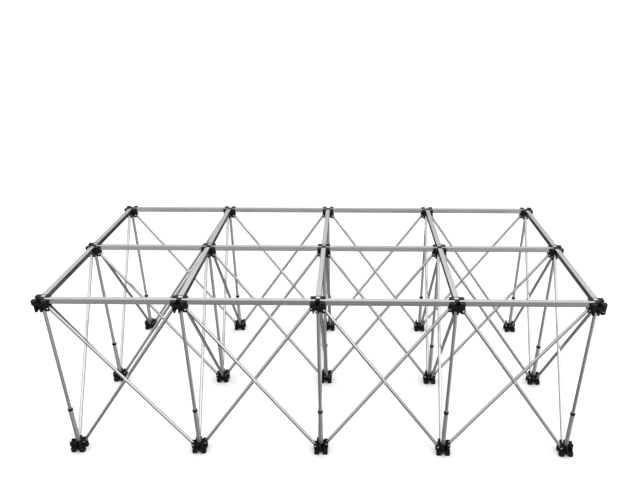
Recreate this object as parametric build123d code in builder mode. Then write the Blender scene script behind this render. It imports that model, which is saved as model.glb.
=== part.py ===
from build123d import *
import os
from math import atan2, cos, degrees, hypot, pi, sin

# Folding stage riser frame, locked open, 4 bays by 2 bays, without its deck panel.
# Millimetres, +Z up. The origin is on the floor under the middle of the frame.
# X runs along the four bays and Y along the two bays, from the front row to the back.

# ---- driving dimensions -------------------------------------------------------------

bay = 500.0  # hub to hub, the same both ways
bays_x = 4
bays_y = 2
deck_height = 702.0  # floor to the rail tops, where the deck lies

tube_diameter = 12.6  # scissor bars
tube_wall = 1.2
running_gap = 0.1  # radial gap of a pin or screw in its hole
side_gap = 0.3  # each side of a bar in its clevis, and of a rail in its channel
overshoot = 1.0  # how far a cut runs past the face it must clear

rail_width = 20.0
rail_height = 20.0
rail_wall = 1.5
rail_edge_radius = 1.0
rail_end_width = 17.2
rail_end_top_depth = 2.5  # an end fitting's top below the rail's top
rail_end_length = 21.0  # the part of an end fitting that shows
rail_spigot_length = 30.0  # the part of an end fitting inside the rail
rail_end_gap = 0.8  # between an end fitting and the hub's core
cradle_radius = 5.0  # lower edges of an end fitting

hub_width = 55.0  # across the corner posts
hub_corner_radius = 5.0
hub_post_height = 19.0
channel_depth = 15.0
waist_top_depth = 9.5  # the waist runs up inside the posts to here
waist_width = 51.0  # the plate, seen between the corner posts and the ears
waist_corner_radius = 9.0
plate_underside = 24.0  # below the deck plane
core_width = 17.0
edge_chamfer = 0.8

ear_thickness = 4.7
ear_reach = 29.5  # hub axis to the ear's outer edge
ear_tip_depth = 47.0  # below the deck plane
ear_top_depth = 20.0
ear_tip_width = 15.5
ear_web_depth = 42.0
ear_tip_slope = 2.5  # sideways run from the tip up to the web
ear_start = 2.0
ear_round = 5.5
washer_thickness = 1.0  # between the two bars of a pair
pin_reach = 23.0  # hub axis to the clevis pin
pin_depth = 36.0  # below the deck plane, or above the floor
bar_overhang = 9.0  # bar end past the pin

pin_diameter = 5.0
head_diameter = 7.0
head_height = 1.5
head_edge = 0.5  # straight rim of a domed head
washer_diameter = 13.0

boss_diameter = 21.6
boss_depth = 41.0
post_inner_diameter = 12.7
post_outer_diameter = 17.0
post_outer_bore = 13.1
post_outer_top = 200.0
socket_gap = 0.05
collar_diameter = 20.0
collar_height = 9.0
collar_overlap = 5.0  # down over the outer tube
collar_top_round = 1.5
collar_foot_chamfer = 0.5
plug_length = 14.0

screw_diameter = 4.0
screw_head_diameter = 7.6
screw_head_height = 2.4
screw_head_round = 1.2
screw_recess_diameter = 8.4
screw_recess_depth = 3.2
screw_length = 34.0
screw_drive_across = 3.0
screw_drive_depth = 1.4

# ---- worked out ---------------------------------------------------------------------

bar_offset = (tube_diameter + washer_thickness) / 2  # bar axis from the row line
slot_width = tube_diameter + 2 * side_gap
clevis_width = slot_width + 2 * ear_thickness
channel_width = rail_end_width + 2 * side_gap
rail_start = core_width / 2 + rail_end_gap  # hub axis to an end fitting

pin_run = bay - 2 * pin_reach  # pin to pin along the row
pin_rise = deck_height - 2 * pin_depth
pin_spacing = hypot(pin_run, pin_rise)
bar_tilt = degrees(atan2(pin_run, pin_rise))  # from upright
bar_length = pin_spacing + 2 * bar_overhang
middle_height = deck_height / 2

post_inner_top = deck_height - plate_underside
post_inner_bottom = plate_underside + plug_length

columns = [bay * (i - bays_x / 2) for i in range(bays_x + 1)]
rows = [bay * (j - bays_y / 2) for j in range(bays_y + 1)]
bay_centres_x = [bay * (i + 0.5 - bays_x / 2) for i in range(bays_x)]
bay_centres_y = [bay * (j + 0.5 - bays_y / 2) for j in range(bays_y)]

deck_places = [Location((x, y, deck_height)) for y in rows for x in columns]
floor_places = [Location((x, y, 0)) for y in rows for x in columns]
foot_places = [Location((x, y, 0), (180, 0, 0)) for y in rows for x in columns]

# A panel is one scissor pair: local X along the row, local Y across it.
x_panels = [Location((x, y, 0)) for y in rows for x in bay_centres_x]
y_panels = [Location((x, y, 0), (0, 0, 90)) for x in columns for y in bay_centres_y]
panels = x_panels + y_panels


def arm_direction(quarter):
    """Unit vector along one of the four arms of a hub."""
    return Vector(cos(quarter * pi / 2), sin(quarter * pi / 2), 0)


def arm_side(quarter):
    """Unit vector from an arm's row line towards its own clevis."""
    return arm_direction(quarter - 1)


def clevis_planes(distance):
    """One plane on each arm, upright along it, at a distance across it."""
    return [
        Plane(arm_side(quarter) * distance, x_dir=arm_direction(quarter), z_dir=arm_side(quarter))
        for quarter in range(4)
    ]


def write(label, piece, places):
    """Copies of a piece at its places, written as one node."""
    with BuildPart() as node:
        with Locations(*places):
            add(piece)
    node.part.label = label
    export_step(node.part, f"parts/{label}.step")


# ---- hubs ---------------------------------------------------------------------------


def make_hub(socket_diameter):
    """One hub moulding, rail side up with the deck plane at z = 0.

    Four corner posts stand round a core and leave a cross of channels for the rails.
    Under the plate each arm has a clevis set to one side of the row line, so that
    the four clevises turn round the post socket like a pinwheel.
    """
    with BuildPart() as hub:
        with BuildSketch(Plane.XY.offset(-hub_post_height)):
            RectangleRounded(hub_width, hub_width, hub_corner_radius)
        extrude(amount=hub_post_height)
        chamfer(hub.faces().sort_by(Axis.Z)[0].edges(), length=2 * edge_chamfer)
        with BuildSketch(Plane.XY.offset(-plate_underside)):
            RectangleRounded(waist_width, waist_width, waist_corner_radius)
        extrude(amount=plate_underside - waist_top_depth)

        channel_planes = [
            Plane(
                arm_direction(quarter) * (core_width / 2),
                x_dir=arm_direction(quarter + 1),
                z_dir=arm_direction(quarter),
            )
            for quarter in range(4)
        ]
        with BuildSketch(*channel_planes) as channel:
            Rectangle(channel_width, 2 * channel_depth)
            fillet(
                channel.vertices().group_by(Axis.Y)[0],
                radius=cradle_radius + side_gap,
            )
        extrude(amount=hub_width, mode=Mode.SUBTRACT)
        chamfer(hub.faces().filter_by(Axis.Z).group_by(Axis.Z)[-1].edges(), length=edge_chamfer)

        inner_ear = clevis_planes(bar_offset - clevis_width / 2)
        outer_ear = clevis_planes(bar_offset + slot_width / 2)
        with BuildSketch(*inner_ear, *outer_ear) as ear:
            with BuildLine():
                Polyline(
                    (ear_start, -ear_top_depth),
                    (ear_reach, -ear_top_depth),
                    (ear_reach, -ear_tip_depth),
                    (ear_reach - ear_tip_width, -ear_tip_depth),
                    (ear_reach - ear_tip_width - ear_tip_slope, -ear_web_depth),
                    (ear_start, -ear_web_depth),
                    close=True,
                )
            make_face()
            fillet(ear.vertices().group_by(Axis.X)[-1], radius=ear_round)
        extrude(amount=ear_thickness)

        with BuildSketch(Plane.XY.offset(-boss_depth)):
            Circle(boss_diameter / 2)
        extrude(amount=boss_depth - plate_underside + overshoot)
        with BuildSketch(Plane.XY.offset(-ear_tip_depth)):
            Circle(socket_diameter / 2)
        extrude(amount=ear_tip_depth - plate_underside, mode=Mode.SUBTRACT)

        with BuildSketch(*clevis_planes(bar_offset - clevis_width / 2 - overshoot)):
            with Locations((pin_reach, -pin_depth)):
                Circle(pin_diameter / 2 + running_gap)
        extrude(amount=clevis_width + 2 * overshoot, mode=Mode.SUBTRACT)

        with Locations((0, 0, 0)):
            CounterBoreHole(
                screw_diameter / 2 + running_gap,
                screw_recess_diameter / 2,
                screw_recess_depth,
                depth=plate_underside + overshoot,
            )
    return hub.part


# ---- pins, screws and washers -------------------------------------------------------


def make_rivet(grip):
    """A pin along Z, headed over at both ends, centred on its grip."""
    dome_radius = (head_diameter**2 / 4 + (head_height - head_edge) ** 2) / (
        2 * (head_height - head_edge)
    )
    top = grip / 2 + head_height
    with BuildPart() as rivet:
        with BuildSketch(Plane.XZ):
            with BuildLine():
                Polyline(
                    (0, 0),
                    (pin_diameter / 2, 0),
                    (pin_diameter / 2, grip / 2),
                    (head_diameter / 2, grip / 2),
                    (head_diameter / 2, grip / 2 + head_edge),
                )
                RadiusArc((head_diameter / 2, grip / 2 + head_edge), (0, top), -dome_radius)
                Line((0, top), (0, 0))
            make_face()
        revolve(axis=Axis.Z)
        mirror(about=Plane.XY)
    return rivet.part


def make_screw():
    """Pan-head screw standing head up, the underside of its head at z = 0."""
    with BuildPart() as screw:
        Cylinder(
            screw_head_diameter / 2,
            screw_head_height,
            align=(Align.CENTER, Align.CENTER, Align.MIN),
        )
        fillet(screw.edges().group_by(Axis.Z)[-1], radius=screw_head_round)
        Cylinder(
            screw_diameter / 2,
            screw_length,
            align=(Align.CENTER, Align.CENTER, Align.MAX),
        )
        with BuildSketch(Plane.XY.offset(screw_head_height)):
            RegularPolygon(screw_drive_across / 2, 6, major_radius=False)
        extrude(amount=-screw_drive_depth, mode=Mode.SUBTRACT)
    return screw.part


def make_washer():
    """The flat washer between the two bars of a pair."""
    with BuildPart() as washer:
        Cylinder(washer_diameter / 2, washer_thickness)
        Hole(pin_diameter / 2 + running_gap)
    return washer.part


# ---- tubes --------------------------------------------------------------------------


def make_tube(diameter, bore, length):
    """A round tube standing on z = 0."""
    with BuildPart() as tube:
        with BuildSketch():
            Circle(diameter / 2)
            Circle(bore / 2, mode=Mode.SUBTRACT)
        extrude(amount=length)
    return tube.part


def make_bar():
    """A scissor bar along Z, centred, drilled along Y for its three pins."""
    with BuildPart() as bar:
        with BuildSketch(Plane.XY.offset(-bar_length / 2)):
            Circle(tube_diameter / 2)
            Circle(tube_diameter / 2 - tube_wall, mode=Mode.SUBTRACT)
        extrude(amount=bar_length)
        with BuildSketch(Plane.XZ):
            with Locations((0, -pin_spacing / 2), (0, 0), (0, pin_spacing / 2)):
                Circle(pin_diameter / 2 + running_gap)
        extrude(amount=tube_diameter, both=True, mode=Mode.SUBTRACT)
    return bar.part


def make_collar():
    """The stop collar, pressed over the outer tube and guiding the inner one."""
    with BuildPart() as collar:
        Cylinder(
            collar_diameter / 2,
            collar_height,
            align=(Align.CENTER, Align.CENTER, Align.MIN),
        )
        fillet(collar.edges().group_by(Axis.Z)[-1], radius=collar_top_round)
        chamfer(collar.edges().group_by(Axis.Z)[0], length=collar_foot_chamfer)
        Hole(post_inner_diameter / 2 + running_gap)
        with Locations(Plane.XY):
            Cylinder(
                post_outer_diameter / 2 + socket_gap,
                collar_overlap,
                align=(Align.CENTER, Align.CENTER, Align.MIN),
                mode=Mode.SUBTRACT,
            )
    return collar.part


def make_plug(diameter):
    """The plug in a post end that its hub screw bites into, standing on z = 0."""
    with BuildPart() as plug:
        Cylinder(
            diameter / 2 - socket_gap,
            plug_length,
            align=(Align.CENTER, Align.CENTER, Align.MIN),
        )
        Hole(screw_diameter / 2 + running_gap)
    return plug.part


# ---- rails --------------------------------------------------------------------------

rail_tube_length = bay - 2 * (rail_start + rail_end_length)


def make_rail():
    """The box section of a rail, along X, centred, its top at z = 0."""
    with BuildPart() as rail:
        with BuildSketch(Plane.YZ.offset(-rail_tube_length / 2)):
            with Locations((0, -rail_height / 2)):
                RectangleRounded(rail_width, rail_height, rail_edge_radius)
                Rectangle(
                    rail_width - 2 * rail_wall,
                    rail_height - 2 * rail_wall,
                    mode=Mode.SUBTRACT,
                )
        extrude(amount=rail_tube_length)
    return rail.part


def make_rail_ends():
    """The two end fittings of a rail, cradled below to sit in the hub channels."""
    with BuildPart() as ends:
        with BuildSketch(Plane.YZ.offset(rail_tube_length / 2)) as cradle:
            with Locations((0, -(rail_end_top_depth + channel_depth) / 2)):
                Rectangle(rail_end_width, channel_depth - rail_end_top_depth)
            fillet(cradle.vertices().group_by(Axis.Y)[0], radius=cradle_radius)
            fillet(cradle.vertices().group_by(Axis.Y)[-1], radius=rail_edge_radius)
        extrude(amount=rail_end_length)
        with BuildSketch(Plane.YZ.offset(rail_tube_length / 2)):
            with Locations((0, -rail_height / 2)):
                Rectangle(
                    rail_width - 2 * rail_wall - 2 * running_gap,
                    rail_height - 2 * rail_wall - 2 * running_gap,
                )
        extrude(amount=-rail_spigot_length)
        mirror(about=Plane.YZ)
    return ends.part


# ---- the whole frame ----------------------------------------------------------------

os.makedirs("parts", exist_ok=True)

write("top_hubs", make_hub(post_inner_diameter + 2 * socket_gap), deck_places)
write("foot_hubs", make_hub(post_outer_diameter + 2 * socket_gap), foot_places)

# Of each pair, the falling bar lies on the panel's -Y side and the rising bar on +Y.
bar = make_bar()
falling = Location((0, -bar_offset, middle_height), (0, -bar_tilt, 0))
rising = Location((0, bar_offset, middle_height), (0, bar_tilt, 0))
write("x_bars_falling", bar, [panel * falling for panel in x_panels])
write("x_bars_rising", bar, [panel * rising for panel in x_panels])
write("y_bars_falling", bar, [panel * falling for panel in y_panels])
write("y_bars_rising", bar, [panel * rising for panel in y_panels])

across = (90, 0, 0)
low, high = pin_depth, deck_height - pin_depth
pin_spots = [
    Location((side * end * pin_run / 2, -side * bar_offset, high if end < 0 else low), across)
    for side in (1, -1)
    for end in (-1, 1)
]
write("clevis_pins", make_rivet(clevis_width), [panel * spot for panel in panels for spot in pin_spots])
middle = Location((0, 0, middle_height), across)
pair_width = 2 * tube_diameter + washer_thickness
write("scissor_rivets", make_rivet(pair_width), [panel * middle for panel in panels])
write("scissor_washers", make_washer(), [panel * middle for panel in panels])

post_inner_bore = post_inner_diameter - 2 * tube_wall
inner_tube = make_tube(post_inner_diameter, post_inner_bore, post_inner_top - post_inner_bottom)
outer_tube = make_tube(post_outer_diameter, post_outer_bore, post_outer_top - plate_underside)
up_to_inner = Location((0, 0, post_inner_bottom))
up_to_outer = Location((0, 0, plate_underside))
up_to_collar = Location((0, 0, post_outer_top - collar_overlap))
down_to_plug = Location((0, 0, -plate_underside - plug_length))
under_head = Location((0, 0, -screw_recess_depth))
write("post_inner_tubes", inner_tube, [place * up_to_inner for place in floor_places])
write("post_outer_tubes", outer_tube, [place * up_to_outer for place in floor_places])
write("post_collars", make_collar(), [place * up_to_collar for place in floor_places])
write("post_head_plugs", make_plug(post_inner_bore), [place * down_to_plug for place in deck_places])
write("post_foot_plugs", make_plug(post_outer_bore), [place * down_to_plug for place in foot_places])
write("hub_screws", make_screw(), [place * under_head for place in deck_places])
write("foot_screws", make_screw(), [place * under_head for place in foot_places])

rail, rail_ends = make_rail(), make_rail_ends()
row_names = ("front", "middle", "back")
for row_name, y in zip(row_names, rows):
    for number, x in enumerate(bay_centres_x, start=1):
        place = Location((x, y, deck_height))
        write(f"rail_x_{row_name}_{number}", rail, [place])
        write(f"rail_x_{row_name}_{number}_ends", rail_ends, [place])
for half_name, y in zip(("front", "back"), bay_centres_y):
    for number, x in enumerate(columns, start=1):
        place = Location((x, y, deck_height), (0, 0, 90))
        write(f"rail_y_{half_name}_{number}", rail, [place])
        write(f"rail_y_{half_name}_{number}_ends", rail_ends, [place])

print("bar length", round(bar_length, 1), "tilt", round(bar_tilt, 2), "rail tube", rail_tube_length)
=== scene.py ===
import bpy
import math
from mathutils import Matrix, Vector


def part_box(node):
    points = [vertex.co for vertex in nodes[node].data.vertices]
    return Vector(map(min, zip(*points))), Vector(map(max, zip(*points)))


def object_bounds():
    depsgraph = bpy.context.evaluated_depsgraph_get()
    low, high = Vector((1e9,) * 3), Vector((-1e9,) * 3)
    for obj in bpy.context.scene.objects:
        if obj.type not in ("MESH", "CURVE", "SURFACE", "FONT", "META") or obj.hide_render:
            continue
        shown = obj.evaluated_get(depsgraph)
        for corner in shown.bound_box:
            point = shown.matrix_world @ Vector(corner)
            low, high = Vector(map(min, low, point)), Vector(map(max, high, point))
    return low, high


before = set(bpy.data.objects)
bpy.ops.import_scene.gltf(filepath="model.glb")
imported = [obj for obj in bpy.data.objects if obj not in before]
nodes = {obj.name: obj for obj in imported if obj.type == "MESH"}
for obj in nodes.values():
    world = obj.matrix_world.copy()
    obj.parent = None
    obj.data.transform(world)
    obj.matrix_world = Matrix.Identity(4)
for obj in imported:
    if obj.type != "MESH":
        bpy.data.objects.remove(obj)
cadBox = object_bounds()
print("frame loaded,", len(nodes), "CAD nodes")

mm = 0.001


# colours, nodes and materials

def hexToLinear(code):
    channels = [int(code[i:i + 2], 16) / 255 for i in (1, 3, 5)]
    return [c / 12.92 if c <= 0.04045 else ((c + 0.055) / 1.055) ** 2.4 for c in channels] + [1.0]


def addNode(tree, kind, inputs=None, **settings):
    node = tree.nodes.new(kind)
    for name, value in settings.items():
        setattr(node, name, value)
    for name, value in (inputs or {}).items():
        if isinstance(value, bpy.types.NodeSocket):
            tree.links.new(value, node.inputs[name])
        else:
            node.inputs[name].default_value = value
    return node


def newMaterial(name):
    material = bpy.data.materials.new(name)
    material.use_nodes = True
    tree = material.node_tree
    return material, tree, tree.nodes["Principled BSDF"]


def dress(material, *names):
    # a CAD node keeps its mesh and gets this material in every slot
    for name in names:
        slots = nodes[name].material_slots
        if not slots:
            nodes[name].data.materials.append(material)
        for slot in slots:
            slot.material = material


def alongAxis(tree, direction):
    # object coordinates in metres, turned so that Z runs along the given direction
    return addNode(tree, "ShaderNodeMapping", {
        "Vector": addNode(tree, "ShaderNodeTexCoord").outputs["Object"],
        "Rotation": Vector(direction).to_track_quat("Z", "Y").inverted().to_euler(),
    }).outputs["Vector"]


# aluminium, drawn or extruded: the die leaves faint lines along the length,
# and handling leaves soft blotches and a few short scuffs

lineDepth = 0.05 * mm
scuffTurn = (0.35, 0.2, 0.0)  # radians, so that scuffs cross the die lines

def drawnAluminium(name, look, direction):
    material, tree, surface = newMaterial(name)
    place = alongAxis(tree, direction)
    linesAcross, linesAlong = 1 / (look["lineWidth"] * mm), 1 / (look["lineLength"] * mm)
    lines = addNode(tree, "ShaderNodeTexNoise", {
        "Vector": addNode(tree, "ShaderNodeMapping", {
            "Vector": place, "Scale": (linesAcross, linesAcross, linesAlong),
        }).outputs["Vector"],
        "Scale": 1.0, "Detail": 3.0, "Roughness": 0.6,
    })
    blotches = addNode(tree, "ShaderNodeTexNoise", {
        "Vector": place, "Scale": 1 / (look["blotchSize"] * mm), "Detail": 4.0, "Roughness": 0.55,
    })
    scuffsAcross, scuffsAlong = 1 / (look["scuffWidth"] * mm), 1 / (look["scuffLength"] * mm)
    scuffs = addNode(tree, "ShaderNodeTexVoronoi", {
        "Vector": addNode(tree, "ShaderNodeMapping", {
            "Vector": place, "Rotation": scuffTurn, "Scale": (scuffsAcross, scuffsAcross, scuffsAlong),
        }).outputs["Vector"],
        "Scale": 1.0,
    })
    scuffMask = addNode(tree, "ShaderNodeMapRange", {
        "Value": scuffs.outputs["Distance"],
        "From Min": 0.05, "From Max": 0.14, "To Min": look["scuffDepth"], "To Max": 0.0,
    })
    tone = addNode(tree, "ShaderNodeMix", {
        "Factor": blotches.outputs["Fac"],
        "A": hexToLinear(look["dark"]), "B": hexToLinear(look["light"]),
    }, data_type="RGBA")
    lined = addNode(tree, "ShaderNodeMix", {
        "Factor": addNode(tree, "ShaderNodeMapRange", {
            "Value": lines.outputs["Fac"],
            "From Min": 0.35, "From Max": 0.65, "To Min": 0.0, "To Max": look["lineShade"],
        }).outputs["Result"],
        "A": tone.outputs["Result"], "B": hexToLinear(look["shade"]),
    }, data_type="RGBA")
    scuffed = addNode(tree, "ShaderNodeMix", {
        "Factor": scuffMask.outputs["Result"],
        "A": lined.outputs["Result"], "B": hexToLinear(look["shade"]),
    }, data_type="RGBA")
    roughness = addNode(tree, "ShaderNodeMapRange", {
        "Value": addNode(tree, "ShaderNodeMath", {0: lines.outputs["Fac"], 1: blotches.outputs["Fac"]},
                         operation="MULTIPLY").outputs["Value"],
        "From Min": 0.12, "From Max": 0.40,
        "To Min": look["roughness"] - look["roughnessSpread"],
        "To Max": look["roughness"] + look["roughnessSpread"],
    })
    relief = addNode(tree, "ShaderNodeBump", {
        "Height": lines.outputs["Fac"], "Strength": look["lineRelief"], "Distance": lineDepth,
    })
    links = tree.links
    links.new(scuffed.outputs["Result"], surface.inputs["Base Color"])
    links.new(roughness.outputs["Result"], surface.inputs["Roughness"])
    links.new(relief.outputs["Normal"], surface.inputs["Normal"])
    surface.inputs["Metallic"].default_value = 1.0
    return material


# 6063 extrusion, satin anodised: an even pale grey that softens what it reflects
railLook = {
    "light": "#C1C1C1", "dark": "#B4B4B4", "shade": "#999999",
    "roughness": 0.24, "roughnessSpread": 0.04,
    "lineWidth": 1.2, "lineLength": 260,  # real die lines are finer; drawn 1.2 mm wide to show
    "lineShade": 0.35, "lineRelief": 0.25,
    "blotchSize": 60, "scuffWidth": 14, "scuffLength": 46, "scuffDepth": 0.35,
}
# machined end fitting, left bare: brighter than the rail, with short tool marks
railEndLook = {
    "light": "#CCCCCC", "dark": "#C2C2C2", "shade": "#A2A2A2",
    "roughness": 0.24, "roughnessSpread": 0.05,
    "lineWidth": 1.0, "lineLength": 8, "lineShade": 0.3, "lineRelief": 0.2,
    "blotchSize": 20, "scuffWidth": 9, "scuffLength": 18, "scuffDepth": 0.3,
}
# bright drawn tube, unpolished: a tight highlight along the top and dark edges
barLook = {
    "light": "#D1D1D1", "dark": "#C8C8C8", "shade": "#A8A8A8",
    "roughness": 0.13, "roughnessSpread": 0.03,
    "lineWidth": 1.6, "lineLength": 500, "lineShade": 0.2, "lineRelief": 0.06,
    "blotchSize": 45, "scuffWidth": 10, "scuffLength": 40, "scuffDepth": 0.3,
}
# lower post tube, drawn and then etched: a flat satin grey
postLook = {
    "light": "#D2D2D2", "dark": "#C6C6C6", "shade": "#ABABAB",
    "roughness": 0.48, "roughnessSpread": 0.06,
    "lineWidth": 1.4, "lineLength": 300, "lineShade": 0.35, "lineRelief": 0.15,
    "blotchSize": 50, "scuffWidth": 10, "scuffLength": 60, "scuffDepth": 0.45,
}
# upper post tube, the same stock worn smoother and a little darker by sliding in the collar
innerPostLook = dict(postLook, light="#C8C8C8", dark="#BBBBBB", shade="#A0A0A0", roughness=0.4)

railsX = [n for n in nodes if n.startswith("rail_x_") and not n.endswith("_ends")]
railsY = [n for n in nodes if n.startswith("rail_y_") and not n.endswith("_ends")]
railEndsX = [n for n in nodes if n.startswith("rail_x_") and n.endswith("_ends")]
railEndsY = [n for n in nodes if n.startswith("rail_y_") and n.endswith("_ends")]
alongX, alongY, alongZ = (1, 0, 0), (0, 1, 0), (0, 0, 1)
dress(drawnAluminium("anodisedRailX", railLook, alongX), *railsX)
dress(drawnAluminium("anodisedRailY", railLook, alongY), *railsY)
dress(drawnAluminium("machinedEndX", railEndLook, alongX), *railEndsX)
dress(drawnAluminium("machinedEndY", railEndLook, alongY), *railEndsY)
print("rails dressed:", len(railsX) + len(railsY))

# how far the bars lean from upright, from the run and rise of one bay in their own node's box
grid = {"hubSpacing": 0.5, "baysAlongX": 4}
lowest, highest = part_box("x_bars_falling")
span = (highest.x - lowest.x) - (grid["baysAlongX"] - 1) * grid["hubSpacing"]
lean = math.atan2(span, highest.z - lowest.z)
leanSin, leanCos = math.sin(lean), math.cos(lean)
barDirections = {
    "x_bars_falling": (-leanSin, 0, leanCos), "x_bars_rising": (leanSin, 0, leanCos),
    "y_bars_falling": (0, -leanSin, leanCos), "y_bars_rising": (0, leanSin, leanCos),
}
for name, direction in barDirections.items():
    dress(drawnAluminium("drawnTube_" + name, barLook, direction), name)
dress(drawnAluminium("etchedLowerPostTube", postLook, alongZ), "post_outer_tubes")
dress(drawnAluminium("wornUpperPostTube", innerPostLook, alongZ), "post_inner_tubes")
print("tubes dressed")


# black glass-filled nylon, injection moulded in a spark-eroded tool:
# a dull, finely pitted black, worn grey along the top edges where the deck lies; that grey on the
# up-facing chamfers is also a painted highlight for the glint of those edges

pitDepth = 0.08 * mm
chamferFacing = math.sqrt(0.5)  # the upright part of the direction that a 45 degree chamfer faces

def mouldedNylon(name, look):
    material, tree, surface = newMaterial(name)
    place = addNode(tree, "ShaderNodeTexCoord").outputs["Object"]
    pits = addNode(tree, "ShaderNodeTexNoise", {
        "Vector": place, "Scale": 1 / (look["pitSize"] * mm), "Detail": 3.0, "Roughness": 0.65,
    })
    clouds = addNode(tree, "ShaderNodeTexNoise", {
        "Vector": place, "Scale": 1 / (look["cloudSize"] * mm), "Detail": 4.0, "Roughness": 0.6,
    })
    rounded = addNode(tree, "ShaderNodeBevel", {"Radius": look["edgeRadius"] * mm}, samples=6)
    facing = addNode(tree, "ShaderNodeNewGeometry").outputs["True Normal"]
    height = addNode(tree, "ShaderNodeSeparateXYZ", {"Vector": place}).outputs["Z"]
    # only faces that lean like the chamfers round each top get the pale grey: wear, and a painted
    # highlight of the chamfers' glint
    offChamfer = addNode(tree, "ShaderNodeMath", {
        0: addNode(tree, "ShaderNodeSeparateXYZ", {"Vector": facing}).outputs["Z"], 1: chamferFacing,
    }, operation="SUBTRACT")
    leaningWearAndHighlight = addNode(tree, "ShaderNodeMapRange", {
        "Value": addNode(tree, "ShaderNodeMath", {0: offChamfer.outputs["Value"]},
                         operation="ABSOLUTE").outputs["Value"],
        "From Min": 0.08, "From Max": 0.25, "To Min": look["edgeWearAndHighlight"], "To Max": 0.0,
    })
    wearAndHighlightFrom = cadBox[1].z - look["wearAndHighlightDepth"] * mm
    underDeck = addNode(tree, "ShaderNodeMapRange", {
        "Value": height, "From Min": wearAndHighlightFrom, "From Max": wearAndHighlightFrom + mm,
    })
    patches = addNode(tree, "ShaderNodeMapRange", {
        "Value": clouds.outputs["Fac"], "From Min": 0.35, "From Max": 0.6, "To Min": 0.2, "To Max": 1.0,
    })
    wearAndHighlightMask = addNode(tree, "ShaderNodeMath", {
        0: leaningWearAndHighlight.outputs["Result"],
        1: addNode(tree, "ShaderNodeMath", {
            0: underDeck.outputs["Result"], 1: patches.outputs["Result"],
        }, operation="MULTIPLY").outputs["Value"],
    }, operation="MULTIPLY")
    tone = addNode(tree, "ShaderNodeMix", {
        "Factor": clouds.outputs["Fac"],
        "A": hexToLinear(look["dark"]), "B": hexToLinear(look["light"]),
    }, data_type="RGBA")
    # mixes in the pale grey: edge wear and a painted highlight on the up-facing top chamfers
    wearAndPaintedHighlight = addNode(tree, "ShaderNodeMix", {
        "Factor": wearAndHighlightMask.outputs["Value"],
        "A": tone.outputs["Result"], "B": hexToLinear(look["wearAndPaintedHighlight"]),
    }, data_type="RGBA")
    roughness = addNode(tree, "ShaderNodeMapRange", {
        "Value": pits.outputs["Fac"],
        "From Min": 0.3, "From Max": 0.7,
        "To Min": look["roughness"] - look["roughnessSpread"],
        "To Max": look["roughness"] + look["roughnessSpread"],
    })
    relief = addNode(tree, "ShaderNodeBump", {
        "Height": pits.outputs["Fac"], "Normal": rounded.outputs["Normal"],
        "Strength": look["pitRelief"], "Distance": pitDepth,
    })
    links = tree.links
    links.new(wearAndPaintedHighlight.outputs["Result"], surface.inputs["Base Color"])
    links.new(roughness.outputs["Result"], surface.inputs["Roughness"])
    links.new(relief.outputs["Normal"], surface.inputs["Normal"])
    surface.inputs["IOR"].default_value = look["ior"]
    surface.inputs["Specular IOR Level"].default_value = look["sheen"]
    return material


hubLook = {
    # the pale grey on the top chamfers is worn nylon and also a painted highlight
    "light": "#171717", "dark": "#0F0F0F", "wearAndPaintedHighlight": "#5A5A5A",
    "roughness": 0.55, "roughnessSpread": 0.09,
    "ior": 1.53, "sheen": 0.15,  # nylon, whose pits trap part of the reflection
    "pitSize": 1.1, "pitRelief": 0.35,  # spark pits are 0.05 mm; drawn 1.1 mm to show
    "cloudSize": 22, "edgeRadius": 0.7, "edgeWearAndHighlight": 0.9,
    "wearAndHighlightDepth": 3,  # mm below the deck
}
collarLook = dict(hubLook, light="#141414", dark="#0C0C0C", roughness=0.42)
dress(mouldedNylon("mouldedNylonHub", hubLook), "top_hubs", "foot_hubs")
dress(mouldedNylon("mouldedNylonCollar", collarLook),
      "post_collars", "post_head_plugs", "post_foot_plugs")
print("hubs and collars dressed")


# turned steel: rings left by the tool do not show at this size, a soft mottle of the plating does

platingDepth = 0.05 * mm

def platedSteel(name, look):
    material, tree, surface = newMaterial(name)
    place = addNode(tree, "ShaderNodeTexCoord").outputs["Object"]
    mottle = addNode(tree, "ShaderNodeTexNoise", {
        "Vector": place, "Scale": 1 / (look["mottleSize"] * mm), "Detail": 3.0, "Roughness": 0.6,
    })
    tone = addNode(tree, "ShaderNodeMix", {
        "Factor": mottle.outputs["Fac"],
        "A": hexToLinear(look["dark"]), "B": hexToLinear(look["light"]),
    }, data_type="RGBA")
    roughness = addNode(tree, "ShaderNodeMapRange", {
        "Value": mottle.outputs["Fac"],
        "From Min": 0.3, "From Max": 0.7,
        "To Min": look["roughness"] - look["roughnessSpread"],
        "To Max": look["roughness"] + look["roughnessSpread"],
    })
    relief = addNode(tree, "ShaderNodeBump", {
        "Height": mottle.outputs["Fac"], "Strength": look["relief"], "Distance": platingDepth,
    })
    links = tree.links
    links.new(tone.outputs["Result"], surface.inputs["Base Color"])
    links.new(roughness.outputs["Result"], surface.inputs["Roughness"])
    links.new(relief.outputs["Normal"], surface.inputs["Normal"])
    surface.inputs["Metallic"].default_value = 1.0
    return material


# bright zinc plating, clear passivated
zincLook = {
    "light": "#F6F6F6", "dark": "#EAEAEA", "roughness": 0.55, "roughnessSpread": 0.05,
    "mottleSize": 2.5, "relief": 0.15,
}
# black oxide, oiled
oxideLook = {
    "light": "#3C3C3C", "dark": "#292929", "roughness": 0.36, "roughnessSpread": 0.07,
    "mottleSize": 2.0, "relief": 0.15,
}
dress(platedSteel("brightZincRivet", zincLook), "clevis_pins", "scissor_rivets", "scissor_washers")
dress(platedSteel("blackOxideScrew", oxideLook), "hub_screws", "foot_screws")
print("rivets and screws dressed")


# floor and light

# metres
studio = {
    "floorRadius": 14.0, "wallHeight": 12.0, "bend": 5.0, "bendSteps": 10, "turns": 64,
    "floor": "#FCFCFC", "floorRoughness": 0.95,
}
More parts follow.
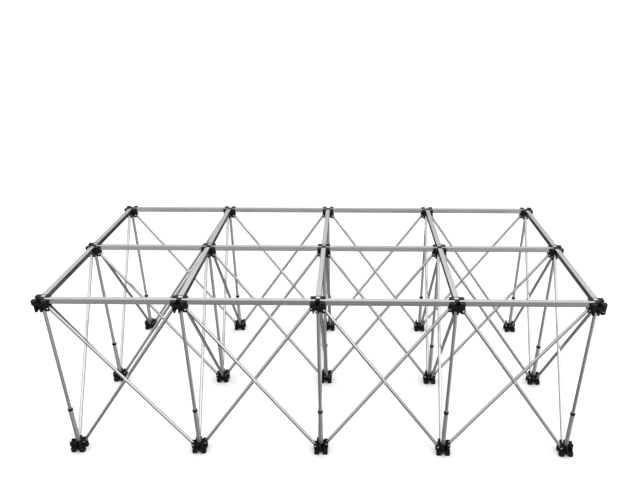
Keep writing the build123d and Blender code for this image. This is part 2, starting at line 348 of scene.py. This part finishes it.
# what the metal reflects: each side of the sky takes over from the one before it along an axis of
# the look direction, and its levels go from straight down, -1, to straight up, 1
sky = {
    "left": {
        "levels": [(-1.0, 0.35), (-0.7, 0.09), (-0.48, 0.14), (-0.22, 0.7),
                   (0.25, 1.1), (0.5, 0.8), (1.0, 1.0)],
    },
    # the room behind the camera is dark, the lit floor in front of it is not
    "front": {
        "axis": "X", "start": -0.85, "end": -0.35,
        "levels": [(-1.0, 0.35), (-0.75, 0.08), (-0.5, 0.2), (-0.36, 1.0), (-0.2, 0.65),
                   (0.0, 0.4), (0.15, 0.5), (0.5, 1.7), (1.0, 1.0)],
    },
    "right": {
        "axis": "X", "start": 0.35, "end": 0.85,
        "levels": [(-1.0, 0.35), (-0.8, 0.27), (-0.62, 0.55), (-0.45, 1.9), (-0.22, 0.75),
                   (0.0, 0.55), (0.3, 1.45), (0.5, 2.0), (1.0, 1.0)],
    },
    "back": {
        "axis": "Y", "start": -0.5, "end": 0.3,
        "levels": [(-1.0, 0.35), (-0.7, 0.12), (-0.36, 0.35), (-0.1, 0.4), (0.12, 0.4),
                   (0.3, 0.9), (0.5, 1.6), (0.75, 2.0), (1.0, 1.0)],
    },
    # a dark strip across the far end of the floor, seen in the inner sides of the rails along Y
    "farFloor": {
        "axis": "Y", "start": 0.72, "end": 0.84,
        "levels": [(-1.0, 0.35), (-0.7, 0.1), (-0.42, 0.03), (-0.32, 0.04), (-0.24, 0.2),
                   (0.12, 0.2), (0.3, 0.8), (0.5, 1.6), (0.75, 2.0), (1.0, 1.0)],
    },
}


def makeBackdrop():
    # a round floor that bends up into a wall, kept out of reflections so that metal keeps its dark sides
    radius, bend = studio["floorRadius"], studio["bend"]
    steps, turns = studio["bendSteps"], studio["turns"]
    profile = [(radius - bend, 0.0)]
    for step in range(1, steps + 1):
        angle = math.pi / 2 * step / steps
        profile.append((radius - bend * (1 - math.sin(angle)), bend * (1 - math.cos(angle))))
    profile.append((radius, studio["wallHeight"]))
    points = [(0.0, 0.0, 0.0)]
    for reach, height in profile:
        for turn in range(turns):
            angle = 2 * math.pi * turn / turns
            points.append((reach * math.cos(angle), reach * math.sin(angle), height))
    faces = [(0, 1 + t, 1 + (t + 1) % turns) for t in range(turns)]
    for ring in range(len(profile) - 1):
        low, high = 1 + ring * turns, 1 + (ring + 1) * turns
        faces += [(low + t, high + t, high + (t + 1) % turns, low + (t + 1) % turns)
                  for t in range(turns)]
    mesh = bpy.data.meshes.new("paleFloor")
    mesh.from_pydata(points, [], faces)
    mesh.shade_smooth()
    floor = bpy.data.objects.new("paleFloor", mesh)
    bpy.context.scene.collection.objects.link(floor)
    floor.visible_glossy = False
    material, tree, surface = newMaterial("mattePaper")
    surface.inputs["Base Color"].default_value = hexToLinear(studio["floor"])
    surface.inputs["Roughness"].default_value = studio["floorRoughness"]
    surface.inputs["Specular IOR Level"].default_value = 0.0
    mesh.materials.append(material)


def makeSky():
    world = bpy.data.worlds.new("softSky")
    bpy.context.scene.world = world
    world.use_nodes = True
    tree = world.node_tree
    look = addNode(tree, "ShaderNodeSeparateXYZ", {
        "Vector": addNode(tree, "ShaderNodeTexCoord").outputs["Generated"],
    }).outputs
    height = addNode(tree, "ShaderNodeMapRange", {"Value": look["Z"], "From Min": -1.0, "From Max": 1.0})
    around = None
    for side in sky.values():
        ramp = addNode(tree, "ShaderNodeValToRGB", {"Fac": height.outputs["Result"]})
        marks = ramp.color_ramp.elements
        levels = side["levels"]
        for mark, level in ((marks[0], levels[0][1]), (marks[1], levels[-1][1])):
            mark.color = (level, level, level, 1.0)
        for place, level in levels[1:-1]:
            marks.new((place + 1) / 2).color = (level, level, level, 1.0)
        if around is None:
            around = ramp.outputs["Color"]
            continue
        share = addNode(tree, "ShaderNodeMapRange", {
            "Value": look[side["axis"]], "From Min": side["start"], "From Max": side["end"],
        }, interpolation_type="SMOOTHSTEP")
        around = addNode(tree, "ShaderNodeMix", {
            "Factor": share.outputs["Result"], "A": around, "B": ramp.outputs["Color"],
        }, data_type="RGBA").outputs["Result"]
    tree.links.new(around, tree.nodes["Background"].inputs["Color"])


# softboxes: place, aim, size in metres and power in watts
lamps = {
    "keyRight": {"place": (3.4, -2.2, 1.2), "aim": (0, 0, 0.5), "size": (3.0, 2.0), "power": 24},
    "fillLeft": {"place": (-3.6, -1.6, 1.8), "aim": (0, 0, 0.4), "size": (2.0, 2.0), "power": 6},
}


def makeLamps():
    for name, lamp in lamps.items():
        light = bpy.data.lights.new(name, "AREA")
        light.shape = "RECTANGLE"
        light.size, light.size_y = lamp["size"]
        light.energy = lamp["power"]
        holder = bpy.data.objects.new(name, light)
        holder.location = lamp["place"]
        toAim = Vector(lamp["aim"]) - Vector(lamp["place"])
        holder.rotation_euler = toAim.to_track_quat("-Z", "Y").to_euler()
        bpy.context.scene.collection.objects.link(holder)


# a camera standing at the front, looking down on the frame: metres, degrees and millimetres
cameraSetting = {
    "place": (0.121, -2.418, 1.699), "down": 27.82, "left": 0.79,
    "lens": 33.9, "sensor": 36.0, "shiftX": -0.0376, "shiftY": 0.099,
}


def makeCamera():
    lens = bpy.data.cameras.new("camera")
    lens.sensor_width = cameraSetting["sensor"]
    lens.lens = cameraSetting["lens"]
    lens.shift_x = cameraSetting["shiftX"]
    lens.shift_y = cameraSetting["shiftY"]
    camera = bpy.data.objects.new("camera", lens)
    camera.location = cameraSetting["place"]
    camera.rotation_euler = (
        math.radians(90 - cameraSetting["down"]), 0, math.radians(cameraSetting["left"]))
    bpy.context.scene.collection.objects.link(camera)
    bpy.context.scene.camera = camera


makeBackdrop()
makeSky()
makeLamps()
makeCamera()
bpy.context.scene.view_settings.view_transform = "Standard"
print("floor, lights and camera placed")
